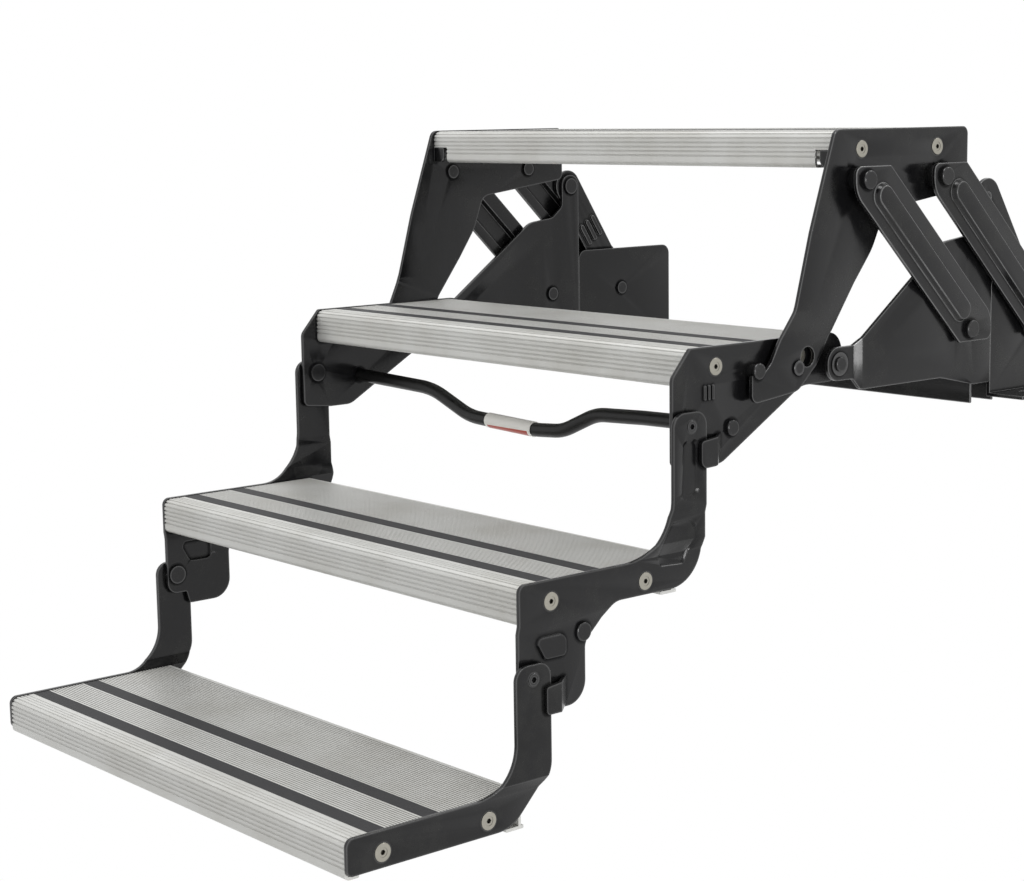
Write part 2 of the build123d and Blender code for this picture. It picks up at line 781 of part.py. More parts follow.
with BuildPart() as pull_handle_bolts:
    add(round_bar(handle_end, handle_bolt_radius, plate_x - handle_bolt_depth, plate_x + sheet))
    head_top = plate_x + sheet + handle_bolt_head_thick
    add(round_bar(handle_end, handle_bolt_head, plate_x + sheet, head_top))
    edge = pull_handle_bolts.edges().filter_by(GeomType.CIRCLE).sort_by(Axis.X)[-1]
    fillet(edge, handle_bolt_head_thick / 2)
    mirror(pull_handle_bolts.part, about=Plane.YZ)
pull_handle_bolts.part.label = "pull_handle_bolts"
export_step(pull_handle_bolts.part, "parts/pull_handle_bolts.step")

# Step 1: brackets with a leg whose foot carries step 2, and the top tread
bracket_rear = tread_1[0] + tread_depth + 9
arch_height = leg_root[1] - 15.5
foot_bottom = stop_stud[1] - 32
bracket_corners = [
    from_point(tread_1, -1, plate_lip),
    (bracket_rear, tread_1[1] + plate_lip),
    (bracket_rear, arch_height),
    from_point(leg_root, 40, -32.5),
    from_point(leg_root, 23, -72),
    from_point(tab_pivot, -5.6, 31),
    from_point(tab_pivot, -24, 2),
    from_point(stop_stud, 58, foot_bottom - stop_stud[1] + 7),
    (stop_stud[0] - 8, foot_bottom),
    from_point(stop_stud, -8, -4),
    from_point(stop_stud, 8, -4),
    from_point(stop_stud, 19, 6),
    from_point(tread_2, 135, 28),
    from_point(leg_root, -71.5, -50.5),
]
bracket_radii = [10, 8, 8, 18, 60, 60, 20, 20, 8, 2, 3, 8, 60, 60]
foot_fold = tread_2[1]
bracket_folds = [
    (foot_bottom - sheet, foot_x),
    (foot_fold, foot_x),
    (foot_fold + 28, bracket_x),
    (tread_1[1] + 2 * sheet, bracket_x),
]
foot_hole_radius = 10.0
foot_hole = screw_points(tread_2)[1]

# Tab bent inwards from the bracket's front edge, which the top tread's nose is cut away for
nose_tab_reach = notch_length - 6
nose_tab_top = -nose_height + notch_height - 0.5
nose_tab_low = -nose_height + 0.5
nose_tab_round = 8.0

# The leg's rear part is bent inwards along a slanted crease, and the bend ends below the arch
crease_fall = 191.0
crease_depth = 12.5
crease_top = from_point(leg_root, -8, -31)
crease_low = from_point(crease_top, -116, -crease_fall)
crease_rear = from_point(crease_top, 16, -crease_fall)
crease_arch = from_point(crease_top, 130, 0)


def plane_through(*points):
    """The plane through three (x, (y, z)) points, facing outwards."""
    first, second, third = [Vector(x, p[0] - mount[0], p[1] - mount[1]) for x, p in points]
    along = second - first
    return Plane(origin=first, x_dir=along, z_dir=along.cross(third - first))


def slanted_bend(face_x):
    """What the bend takes off a leg whose face is at face_x."""
    deep_x = face_x - crease_depth
    with BuildPart() as cut:
        with BuildSketch(side.offset(deep_x)):
            with BuildLine():
                Polyline(crease_top, crease_low, crease_rear, crease_arch, close=True)
            make_face()
        extrude(amount=crease_depth + sheet)
        slant = plane_through((face_x, crease_top), (face_x, crease_low), (deep_x, crease_rear))
        split(bisect_by=slant)
        end = plane_through((face_x, crease_top), (deep_x, crease_rear), (face_x, crease_arch))
        split(bisect_by=end)
    return cut.part


def leg_block(depth):
    """All that lies inside the bracket's folded face, at a depth of the sheet."""
    profile = [(x + depth, z) for z, x in bracket_folds]
    with BuildPart() as block:
        with BuildSketch(front):
            with BuildLine():
                Polyline((0, profile[0][1]), *profile, (0, profile[-1][1]), close=True)
            make_face()
        extrude(amount=reach, both=True)
        add(slanted_bend(bracket_x + depth), mode=Mode.SUBTRACT)
    return block.part


with BuildPart() as step_1_bracket_right:
    add(blank(bracket_corners, bracket_radii, foot_x - sheet, bracket_x + 2 * sheet))
    add(leg_block(sheet), mode=Mode.INTERSECT)
    add(leg_block(0), mode=Mode.SUBTRACT)
    with BuildSketch(front.offset(-tread_1[0] - nose_setback)):
        with BuildLine():
            FilletPolyline(
                (bracket_x + sheet / 2, tread_1[1] + nose_tab_top),
                (bracket_x - nose_tab_reach, tread_1[1] + nose_tab_top),
                (bracket_x - nose_tab_reach, tread_1[1] + nose_tab_low),
                (bracket_x + sheet / 2, tread_1[1] + nose_tab_low),
                radius=[0, 2, nose_tab_round, 0], close=True,
            )
        make_face()
    extrude(amount=-sheet)
    notch = round_bar(stop_stud, stop_stud_radius + notch_play, foot_x, foot_x + sheet)
    add(notch, mode=Mode.SUBTRACT)
    add(round_bar(foot_hole, foot_hole_radius, foot_x, foot_x + sheet), mode=Mode.SUBTRACT)
    stud_bore = round_bar(stud_pivot, stud_radius + running_play, foot_x, foot_x + sheet)
    add(stud_bore, mode=Mode.SUBTRACT)
    for top in (front_top, rear_top):
        add(round_bar(top, pin_radius, bracket_x, bracket_x + sheet), mode=Mode.SUBTRACT)
    for point in screw_points(tread_1):
        add(screw_seat(point, bracket_x + sheet), mode=Mode.SUBTRACT)
step_1_bracket_right.part.label = "step_1_bracket_right"
export_step(step_1_bracket_right.part, "parts/step_1_bracket_right.step")

with BuildPart() as step_1_bracket_left:
    mirror(step_1_bracket_right.part, about=Plane.YZ)
step_1_bracket_left.part.label = "step_1_bracket_left"
export_step(step_1_bracket_left.part, "parts/step_1_bracket_left.step")

# The top tread, whose nose is cut away below at both ends
notch_centre_x = tread_1_half - notch_length / 2
with BuildPart() as top_tread:
    add(tread(tread_1, tread_1_half))
    with BuildSketch(plan.offset(tread_1[1] - nose_height)):
        with Locations((notch_centre_x, tread_1[0]), (-notch_centre_x, tread_1[0])):
            Rectangle(notch_length, notch_depth)
    extrude(amount=notch_height, mode=Mode.SUBTRACT)
top_tread.part.label = "tread_1"
export_step(top_tread.part, "parts/tread_1.step")

with BuildPart() as tread_1_grip_strips:
    add(grip_strips(tread_1, tread_1_half))
tread_1_grip_strips.part.label = "tread_1_grip_strips"
export_step(tread_1_grip_strips.part, "parts/tread_1_grip_strips.step")

with BuildPart() as tread_1_screws:
    add(tread_screws(tread_1, bracket_x + sheet))
tread_1_screws.part.label = "tread_1_screws"
export_step(tread_1_screws.part, "parts/tread_1_screws.step")


def link_pin(centre, inner_x, head_inside):
    """A shouldered pin of a link, with a flat head at each end."""
    with BuildPart() as pin:
        add(round_bar(centre, pin_radius, inner_x, link_x + sheet))
        add(round_bar(centre, link_head, link_x + sheet + face_gap, link_x + sheet + link_head_thick))
        edge = pin.edges().filter_by(GeomType.CIRCLE).sort_by(Axis.X)[-1]
        fillet(edge, link_head_thick / 3)
        add(round_bar(centre, pin_radius, link_x, link_x + sheet + face_gap))
        add(round_bar(centre, rivet_head - 2, inner_x - head_inside, inner_x))
    return pin.part


# Pins and spacers between the step 1 brackets and the links
with BuildPart() as link_top_pins:
    for top in (front_top, rear_top):
        add(link_pin(top, bracket_x, rivet_head_thick))
    mirror(link_top_pins.part, about=Plane.YZ)
link_top_pins.part.label = "link_top_pins"
export_step(link_top_pins.part, "parts/link_top_pins.step")

with BuildPart() as link_spacers:
    for top in (front_top, rear_top):
        add(ring(top, spacer_radius, pin_radius, bracket_x + sheet, link_x - face_gap))
    mirror(link_spacers.part, about=Plane.YZ)
link_spacers.part.label = "link_spacers"
export_step(link_spacers.part, "parts/link_spacers.step")

# Links: pressed bars with a raised rib
link_length = hypot(front_low[0] - front_top[0], front_low[1] - front_top[1])
link_angle = degrees(atan2(front_low[1] - front_top[1], front_low[0] - front_top[0]))


def link(top, low):
    """One right-hand link: a bar cut level at both ends, wider on its upper side."""
    corners = [
        from_point(top, -link_narrow_side, link_end),
        from_point(top, link_wide_side, link_end),
        from_point(low, link_wide_side, link_end),
        from_point(low, link_wide_side, -link_end),
        from_point(low, -link_narrow_side, -link_end),
        from_point(top, -link_narrow_side, -link_end),
    ]
    tilt = radians(link_angle)
    middle = ((top[0] + low[0]) / 2, (top[1] + low[1]) / 2)
    rib_middle = from_point(middle, -link_rib_shift * sin(tilt), link_rib_shift * cos(tilt))
    rib_run = link_length - 2 * link_rib_end
    with BuildPart() as bar:
        add(blank(corners, [9, 3, 30, 9, 3, 30], link_x, link_x + sheet))
        with BuildSketch(side.offset(link_x + sheet)):
            with Locations(rib_middle):
                SlotCenterToCenter(rib_run, link_rib_width, rotation=link_angle)
        extrude(amount=link_rib_height, taper=25)
        with BuildSketch(side.offset(link_x)):
            with Locations(rib_middle):
                SlotCenterToCenter(rib_run, link_rib_width, rotation=link_angle)
        extrude(amount=link_rib_height, taper=25, mode=Mode.SUBTRACT)
        for end in (top, low):
            bore = round_bar(end, pin_radius + running_play, link_x, link_x + sheet)
            add(bore, mode=Mode.SUBTRACT)
    return bar.part


with BuildPart() as front_link_right:
    add(link(front_top, front_low))
front_link_right.part.label = "front_link_right"
export_step(front_link_right.part, "parts/front_link_right.step")

with BuildPart() as front_link_left:
    mirror(front_link_right.part, about=Plane.YZ)
front_link_left.part.label = "front_link_left"
export_step(front_link_left.part, "parts/front_link_left.step")

with BuildPart() as rear_link_right:
    add(link(rear_top, rear_low))
rear_link_right.part.label = "rear_link_right"
export_step(rear_link_right.part, "parts/rear_link_right.step")

with BuildPart() as rear_link_left:
    mirror(rear_link_right.part, about=Plane.YZ)
rear_link_left.part.label = "rear_link_left"
export_step(rear_link_left.part, "parts/rear_link_left.step")

# Base bracket: pressed gusset with a tab in front and a post behind
tab_radius = 17.0
post_front = post_top[0] - 14
post_rear = post_top[0] + 14
post_foot = mount[1] + 16
gusset_front = tab_pivot[0] + 28
gusset_bottom = mount[1] + 28
base_bracket_corners = [
    from_point(tab_pivot, -tab_radius, -tab_radius),
    from_point(tab_pivot, -tab_radius, tab_radius),
    from_point(tab_pivot, 21, tab_radius),
    (gusset_front, tab_pivot[1] + 23),
    from_point(front_low, -36, 92.5),
    from_point(front_low, 2, 97),
    (post_front, post_top[1] - 26),
    (post_front, post_top[1] + 14),
    (post_rear, post_top[1] + 14),
    (post_rear, post_foot),
    (post_front, post_foot),
    (post_front - 56, gusset_bottom),
    (gusset_front, gusset_bottom),
    from_point(tab_pivot, 21, -tab_radius),
]
base_bracket_radii = [tab_radius - 1, tab_radius - 1, 4, 6, 30, 15, 12, 13, 13, 3, 3, 20, 5, 4]
base_folds = [
    (tab_pivot[0] - 2 * tab_radius, tab_x),
    (tab_pivot[0] + 21, tab_x),
    (gusset_front + 2, base_x),
    (post_rear + sheet, base_x),
]
dish_rim = [
    (gusset_front + 10, gusset_bottom + 7),
    (gusset_front + 10, tab_pivot[1] + 19),
    from_point(front_low, -46, 80),
    from_point(front_low, -14, 76),
    (front_low[0] - 14, gusset_bottom + 7),
]
dish_floor = [
    (gusset_front + 34, gusset_bottom + 32),
    (gusset_front + 34, tab_pivot[1] + 17),
    from_point(front_low, -50, 52),
    from_point(front_low, -36, 50),
    (front_low[0] - 36, gusset_bottom + 32),
]


def dish(x_from):
    """The pressed dish of the gusset, from its rim at x_from to its floor."""
    with BuildPart() as form:
        with BuildSketch(side.offset(x_from)):
            with BuildLine():
                Polyline(*dish_rim, close=True)
            make_face()
        with BuildSketch(side.offset(x_from + dish_height)):
            with BuildLine():
                Polyline(*dish_floor, close=True)
            make_face()
        loft(ruled=True)
    return form.part


boss_radius = 12.0
with BuildPart() as base_bracket_right:
    add(blank(base_bracket_corners, base_bracket_radii, tab_x - sheet, base_x + 2 * sheet))
    add(upright_folds(base_folds), mode=Mode.INTERSECT)
    add(dish(base_x + sheet))
    add(dish(base_x), mode=Mode.SUBTRACT)
    add(round_bar(front_low, boss_radius, base_x, link_x - face_gap))
    add(round_bar(front_low, pin_radius, base_x, link_x), mode=Mode.SUBTRACT)
    add(round_bar(post_top, stud_radius, base_x, base_x + sheet), mode=Mode.SUBTRACT)
    add(round_bar(tab_pivot, stud_radius, tab_x, tab_x + sheet), mode=Mode.SUBTRACT)
base_bracket_right.part.label = "base_bracket_right"
export_step(base_bracket_right.part, "parts/base_bracket_right.step")

with BuildPart() as base_bracket_left:
    mirror(base_bracket_right.part, about=Plane.YZ)
base_bracket_left.part.label = "base_bracket_left"
export_step(base_bracket_left.part, "parts/base_bracket_left.step")

# Base side plate with its bolted flange
plate_end = post_rear + side_plate_length
plate_top = mount[1] + side_plate_height
side_plate_corners = [
    (post_rear, mount[1]),
    (post_rear, plate_top),
    (plate_end, plate_top),
    (plate_end, mount[1]),
]
bolt_rows = [mount[0] - mount_along / 2, mount[0] + mount_along / 2]
with BuildPart() as base_side_plate_right:
    add(blank(side_plate_corners, [1, 12, 12, 1], base_x, base_x + sheet))
    add(blank(
        [(post_rear, mount[1]), (post_rear, mount[1] + sheet),
         (plate_end, mount[1] + sheet), (plate_end, mount[1])],
        [0, 0, 0, 0], base_x, base_x + flange_width,
    ))
    add(round_bar(rear_low, pin_radius, base_x, base_x + sheet), mode=Mode.SUBTRACT)
    with BuildSketch(plan.offset(mount[1])):
        with Locations(*[(mount_across / 2, row) for row in bolt_rows]):
            Circle(mount_hole)
    extrude(amount=sheet, mode=Mode.SUBTRACT)
base_side_plate_right.part.label = "base_side_plate_right"
export_step(base_side_plate_right.part, "parts/base_side_plate_right.step")

with BuildPart() as base_side_plate_left:
    mirror(base_side_plate_right.part, about=Plane.YZ)
base_side_plate_left.part.label = "base_side_plate_left"
export_step(base_side_plate_left.part, "parts/base_side_plate_left.step")

# Rear brace from the post's top down to the rear link's pivot, ribbed on its inside
brace_length = hypot(rear_low[0] - post_top[0], rear_low[1] - post_top[1])
brace_angle = degrees(atan2(rear_low[1] - post_top[1], rear_low[0] - post_top[0]))
brace_middle = ((post_top[0] + rear_low[0]) / 2, (post_top[1] + rear_low[1]) / 2)
brace_rib_length = 30.0
brace_rib_shift = 12.0
brace_rib_pitch = 11.0
with BuildPart() as base_rear_brace_right:
    with BuildSketch(side.offset(brace_x)):
        with Locations(brace_middle):
            SlotCenterToCenter(brace_length, brace_width, rotation=brace_angle)
    extrude(amount=sheet)
    with BuildSketch(side.offset(brace_x)):
        with Locations(Location(brace_middle, brace_angle)):
            with Locations(*[(-brace_rib_shift, i * brace_rib_pitch) for i in (-1, 0, 1)]):
                SlotOverall(brace_rib_length, brace_rib_width)
    extrude(amount=-brace_rib_height)
    add(round_bar(rear_low, pin_radius, brace_x, brace_x + sheet), mode=Mode.SUBTRACT)
    add(round_bar(post_top, stud_radius, brace_x, brace_x + sheet), mode=Mode.SUBTRACT)
base_rear_brace_right.part.label = "base_rear_brace_right"
export_step(base_rear_brace_right.part, "parts/base_rear_brace_right.step")

with BuildPart() as base_rear_brace_left:
    mirror(base_rear_brace_right.part, about=Plane.YZ)
base_rear_brace_left.part.label = "base_rear_brace_left"
export_step(base_rear_brace_left.part, "parts/base_rear_brace_left.step")

# Cross member: an open channel between the two base brackets
cross_front = post_front
cross_top = mount[1] + 25
with BuildPart() as base_cross_member:
    with BuildSketch(side.offset(-base_x)):
        with BuildLine():
            Polyline(
                (cross_front, cross_top - cross_height),
                (cross_front, cross_top),
                (cross_front + cross_depth, cross_top),
                (cross_front + cross_depth, cross_top - cross_height),
                (cross_front + cross_depth - cross_wall, cross_top - cross_height),
                (cross_front + cross_depth - cross_wall, cross_top - cross_wall),
                (cross_front + cross_wall, cross_top - cross_wall),
                (cross_front + cross_wall, cross_top - cross_height),
                close=True,
            )
        make_face()
    extrude(amount=2 * base_x)
base_cross_member.part.label = "base_cross_member"
export_step(base_cross_member.part, "parts/base_cross_member.step")

# Pins of the links on the base, and the rivets of the tab and the post
with BuildPart() as base_pivot_pins:
    for low in (front_low, rear_low):
        add(link_pin(low, base_x, rivet_head_thick))
    mirror(base_pivot_pins.part, about=Plane.YZ)
base_pivot_pins.part.label = "base_pivot_pins"
export_step(base_pivot_pins.part, "parts/base_pivot_pins.step")

with BuildPart() as base_bracket_rivets:
    add(round_bar(tab_pivot, stud_radius, tab_x, tab_x + sheet))
    washer_x = tab_x + sheet + rivet_head_thick / 2
    add(round_bar(tab_pivot, rivet_head + 2, tab_x + sheet, washer_x))
    add(round_bar(tab_pivot, stud_head, washer_x, washer_x + rivet_head_thick))
    edge = base_bracket_rivets.edges().filter_by(GeomType.CIRCLE).sort_by(Axis.X)[-1]
    fillet(edge, rivet_head_thick / 2)
    add(round_bar(post_top, stud_radius, base_x, brace_x + sheet))
    add(round_bar(post_top, rivet_head, base_x - rivet_head_thick, base_x))
    mirror(base_bracket_rivets.part, about=Plane.YZ)
base_bracket_rivets.part.label = "base_bracket_rivets"
export_step(base_bracket_rivets.part, "parts/base_bracket_rivets.step")
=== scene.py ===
"""Looks for the camper entry step: four folding treads on two pairs of swing links.

Metres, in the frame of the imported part: X runs across the step, Y rearwards from the
lowest tread to the base, and Z up.
"""
import math

import bpy
from mathutils import Matrix
from mathutils import Vector


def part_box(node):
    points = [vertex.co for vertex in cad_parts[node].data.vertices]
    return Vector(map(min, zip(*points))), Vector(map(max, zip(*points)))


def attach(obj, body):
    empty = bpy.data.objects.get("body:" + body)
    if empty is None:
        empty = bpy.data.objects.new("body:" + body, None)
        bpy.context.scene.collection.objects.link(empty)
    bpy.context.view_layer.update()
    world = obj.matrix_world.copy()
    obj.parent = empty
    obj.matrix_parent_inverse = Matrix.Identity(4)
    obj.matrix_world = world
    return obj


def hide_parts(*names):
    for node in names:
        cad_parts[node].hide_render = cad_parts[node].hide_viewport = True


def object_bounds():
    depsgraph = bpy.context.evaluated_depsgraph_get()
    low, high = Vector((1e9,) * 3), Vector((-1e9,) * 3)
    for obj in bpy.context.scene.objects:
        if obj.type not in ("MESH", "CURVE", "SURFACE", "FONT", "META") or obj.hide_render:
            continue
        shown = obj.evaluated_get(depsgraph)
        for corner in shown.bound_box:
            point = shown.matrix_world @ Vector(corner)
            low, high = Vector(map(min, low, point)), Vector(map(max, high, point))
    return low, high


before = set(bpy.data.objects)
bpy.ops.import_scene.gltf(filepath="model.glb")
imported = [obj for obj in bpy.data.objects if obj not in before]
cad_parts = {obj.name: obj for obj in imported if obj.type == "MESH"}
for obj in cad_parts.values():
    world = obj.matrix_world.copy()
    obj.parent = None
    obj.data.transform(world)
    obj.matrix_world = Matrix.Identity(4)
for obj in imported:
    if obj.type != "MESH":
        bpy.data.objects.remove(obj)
cad_low, cad_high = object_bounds()

# Camera: it stands in front and to the right of the flight, a little above the top
# step, and looks slightly down. Its lens was fitted to the straight edges of the treads.
LENS_MM = 74.03
SENSOR_MM = 36.0
CAMERA_PLACE = (1.7063, -1.9342, 0.3120)
CAMERA_YAW = 49.64
CAMERA_DOWN = 8.92
CAMERA_ROLL = -0.85
CAMERA_REACH = 60.0

camera_data = bpy.data.cameras.new("camera")
camera_data.lens = LENS_MM
camera_data.sensor_width = SENSOR_MM
camera_data.clip_end = CAMERA_REACH
camera = bpy.data.objects.new("camera", camera_data)
bpy.context.scene.collection.objects.link(camera)
turn = (
    Matrix.Rotation(math.radians(CAMERA_YAW), 4, "Z")
    @ Matrix.Rotation(math.radians(90 - CAMERA_DOWN), 4, "X")
    @ Matrix.Rotation(math.radians(CAMERA_ROLL), 4, "Z")
)
camera.matrix_world = Matrix.Translation(CAMERA_PLACE) @ turn
bpy.context.scene.camera = camera
bpy.context.scene.view_settings.view_transform = "Standard"


# Ground: a white sweep well below the lowest tread, which keeps only a faint shadow. It
# is plain white to the camera and in reflections, and pale grey to the light.


def hex_linear(code):
    """An sRGB hex colour as linear RGBA."""
    channels = [int(code[i:i + 2], 16) / 255 for i in (1, 3, 5)]
    linear = [c / 12.92 if c <= 0.04045 else ((c + 0.055) / 1.055) ** 2.4 for c in channels]
    return (*linear, 1.0)


def bare_tree(owner):
    """Turns on the nodes of a material or world, and gives its emptied tree."""
    owner.use_nodes = True
    owner.node_tree.nodes.clear()
    return owner.node_tree


def add_node(tree, kind, settings, values):
    """Adds a node with its settings, and gives each input a value or a link."""
    made = tree.nodes.new(kind)
    for key, value in settings.items():
        setattr(made, key, value)
    for key, value in values.items():
        if isinstance(value, bpy.types.NodeSocket):
            tree.links.new(value, made.inputs[key])
        else:
            made.inputs[key].default_value = value
    return made


def backdrop_rays(tree):
    """Gives 1 for rays from the camera, from shine and through glass, and 0 for light."""
    paths = add_node(tree, "ShaderNodeLightPath", {}, {})
    glossy = add_node(tree, "ShaderNodeMath", {"operation": "MAXIMUM"},
                      {0: paths.outputs["Is Camera Ray"], 1: paths.outputs["Is Glossy Ray"]})
    seen = add_node(tree, "ShaderNodeMath", {"operation": "MAXIMUM"},
                    {0: glossy.outputs[0], 1: paths.outputs["Is Transmission Ray"]})
    return seen.outputs[0]


WHITE = hex_linear("#FFFFFF")
SWEEP_GREY = hex_linear("#D9D9D9")
SWEEP_BELOW = 0.18
SWEEP_SIZE = 24.0

bpy.ops.object.select_all(action="DESELECT")
bpy.ops.mesh.primitive_plane_add(size=SWEEP_SIZE, location=(0, 0, cad_low.z - SWEEP_BELOW))
sweep = bpy.context.active_object
sweep.name = "white_sweep"
bpy.ops.object.transform_apply(location=True, rotation=True, scale=True)
sweep_paint = bpy.data.materials.new("white_sweep")
tree = bare_tree(sweep_paint)
shaded = add_node(tree, "ShaderNodeBsdfDiffuse", {}, {"Color": SWEEP_GREY})
glow = add_node(tree, "ShaderNodeEmission", {}, {"Color": WHITE, "Strength": 1.0})
mixed = add_node(tree, "ShaderNodeMixShader", {},
                 {0: backdrop_rays(tree), 1: shaded.outputs[0], 2: glow.outputs[0]})
add_node(tree, "ShaderNodeOutputMaterial", {}, {"Surface": mixed.outputs[0]})
sweep.data.materials.append(sweep_paint)

# Light: soft white surroundings, a large light overhead, one low to the right whose shine
# picks out the folds of the side plates, and a soft one behind. Each has its name, place,
# width and watts.
SURROUND_FILL = 0.55
LIGHTS = [
    ("overhead", (-0.5, -1.2, 4.4), 2.6, 152.0),
    ("right_shine", (3.3, -1.3, 0.12), 1.2, 48.0),
    ("high_behind", (1.4, 2.6, 3.0), 1.6, 28.0),
]

surround = bpy.data.worlds.new("white_surround")
bpy.context.scene.world = surround
tree = bare_tree(surround)
fill = add_node(tree, "ShaderNodeBackground", {}, {"Color": WHITE, "Strength": SURROUND_FILL})
backdrop = add_node(tree, "ShaderNodeBackground", {}, {"Color": WHITE, "Strength": 1.0})
mixed = add_node(tree, "ShaderNodeMixShader", {},
                 {0: backdrop_rays(tree), 1: fill.outputs[0], 2: backdrop.outputs[0]})
add_node(tree, "ShaderNodeOutputWorld", {}, {"Surface": mixed.outputs[0]})

middle = (cad_low + cad_high) / 2
for name, place, width, watts in LIGHTS:
    light_data = bpy.data.lights.new(name, "AREA")
    light_data.shape = "DISK"
    light_data.size = width
    light_data.energy = watts
    light = bpy.data.objects.new(name, light_data)
    bpy.context.scene.collection.objects.link(light)
    light.location = place
    light.rotation_euler = (middle - Vector(place)).to_track_quat("-Z", "Y").to_euler()

# Base frame: gussets, flanged side plates and braces of 4 mm steel sheet, laser-cut and
# pressed, joined by a channel and bolted down. The semi-gloss black powder coat is a bit
# bumpy and dusty, with painted shade in creases, painted highlights on pressed rims, and a
# paler colour painted on the cut edges as a highlight.
COAT_BLACK = hex_linear("#101011")
COAT_DUSTY = hex_linear("#1D1D1C")
# Paler coat for the eased cut edges: a painted highlight
COAT_EDGE_HIGHLIGHT = hex_linear("#5C5C5C")
COAT_IOR = 1.5
COAT_GLOSS = 0.32
COAT_ROUGHNESS = 0.2

# Orange peel of the coat, and the dusty scuffs, which are also rougher than clean coat
PEEL_SIZE = 0.003
PEEL_DETAIL = 2.0
PEEL_HEIGHT = 0.0001
PEEL_STRENGTH = 0.25
SCUFF_SIZE = 0.05
SCUFF_DETAIL = 6.0
SCUFF_BREAKUP = 0.7
SCUFF_TINT_FROM = 0.5
SCUFF_TINT_TO = 0.72
SCUFF_DULL_FROM = 0.35
SCUFF_DULL_TO = 0.7
CLEAN_SMOOTHER = 0.06
SCUFF_ROUGHER = 0.14

# Painted shade and painted highlights: the coat's shine is turned down in creases and up on
# rims, found by how much of a short reach is sheltered outside and inside
SHELTER_SAMPLES = 8
CREASE_REACH = 0.004
CREASE_DEEP = 0.84
CREASE_OPEN = 0.985
CREASE_GLOSS = 0.05
RIM_REACH = 0.0018
RIM_SHARP = 0.76
RIM_FLAT = 0.95
RIM_GLOSS = 0.6

# Cut edges: how they are eased, and up to which fold the sheet is shaded as one surface
MERGE_WITHIN = 0.00002
FLAT_WITHIN = 0.5
EDGE_ROUND = 0.0011
EDGE_STEPS = 3
EDGE_FROM_ANGLE = 60
SMOOTH_TO_ANGLE = 19


def powder_coat(name, colour, roughness):
    """Semi-gloss coat: orange peel, dusty scuffs, painted shade in creases, painted highlights on
    rims.
    """
    made = bpy.data.materials.new(name)
    tree = bare_tree(made)
    place = add_node(tree, "ShaderNodeTexCoord", {}, {}).outputs["Object"]
    peel = add_node(tree, "ShaderNodeTexNoise", {},
                    {"Vector": place, "Scale": 1 / PEEL_SIZE, "Detail": PEEL_DETAIL})
    scuff = add_node(tree, "ShaderNodeTexNoise", {},
                     {"Vector": place, "Scale": 1 / SCUFF_SIZE, "Detail": SCUFF_DETAIL,
                      "Roughness": SCUFF_BREAKUP})
    worn = add_node(tree, "ShaderNodeMapRange", {},
                    {"Value": scuff.outputs[0],
                     "From Min": SCUFF_TINT_FROM, "From Max": SCUFF_TINT_TO})
    tint = add_node(tree, "ShaderNodeMix", {"data_type": "RGBA"},
                    {0: worn.outputs[0], 6: colour, 7: COAT_DUSTY})
    dull = add_node(tree, "ShaderNodeMapRange", {},
                    {"Value": scuff.outputs[0],
                     "From Min": SCUFF_DULL_FROM, "From Max": SCUFF_DULL_TO,
                     "To Min": roughness - CLEAN_SMOOTHER, "To Max": roughness + SCUFF_ROUGHER})
    bump = add_node(tree, "ShaderNodeBump", {},
                    {"Strength": PEEL_STRENGTH, "Distance": PEEL_HEIGHT,
                     "Height": peel.outputs[0]})
    # Painted shade: the shine drops in creases and where parts meet closely, which darkens them
    hollow = add_node(tree, "ShaderNodeAmbientOcclusion", {"samples": SHELTER_SAMPLES},
                      {"Distance": CREASE_REACH})
    crease_shade = add_node(tree, "ShaderNodeMapRange", {},
                      {"Value": hollow.outputs["AO"],
                       "From Min": CREASE_DEEP, "From Max": CREASE_OPEN,
                       "To Min": CREASE_GLOSS, "To Max": COAT_GLOSS})
    # Painted highlight: the shine rises on pressed rims and sharp crowns of the sheet
    crown = add_node(tree, "ShaderNodeAmbientOcclusion",
                     {"samples": SHELTER_SAMPLES, "inside": True, "only_local": True},
                     {"Distance": RIM_REACH})
    rim_highlight = add_node(tree, "ShaderNodeMapRange", {},
                   {"Value": crown.outputs["AO"], "From Min": RIM_SHARP, "From Max": RIM_FLAT,
                    "To Min": RIM_GLOSS, "To Max": 0.0})
    gloss = add_node(tree, "ShaderNodeMath", {"operation": "ADD"},
                     {0: crease_shade.outputs[0], 1: rim_highlight.outputs[0]})
    coat = add_node(tree, "ShaderNodeBsdfPrincipled", {},
                    {"Base Color": tint.outputs[2], "IOR": COAT_IOR,
                     "Specular IOR Level": gloss.outputs[0],
                     "Roughness": dull.outputs[0], "Normal": bump.outputs[0]})
    add_node(tree, "ShaderNodeOutputMaterial", {}, {"Surface": coat.outputs[0]})
    return made


steel_coat = powder_coat("black_powder_coat", COAT_BLACK, COAT_ROUGHNESS)
edge_highlight_coat = powder_coat("black_powder_coat_edge_highlight", COAT_EDGE_HIGHLIGHT, COAT_ROUGHNESS)


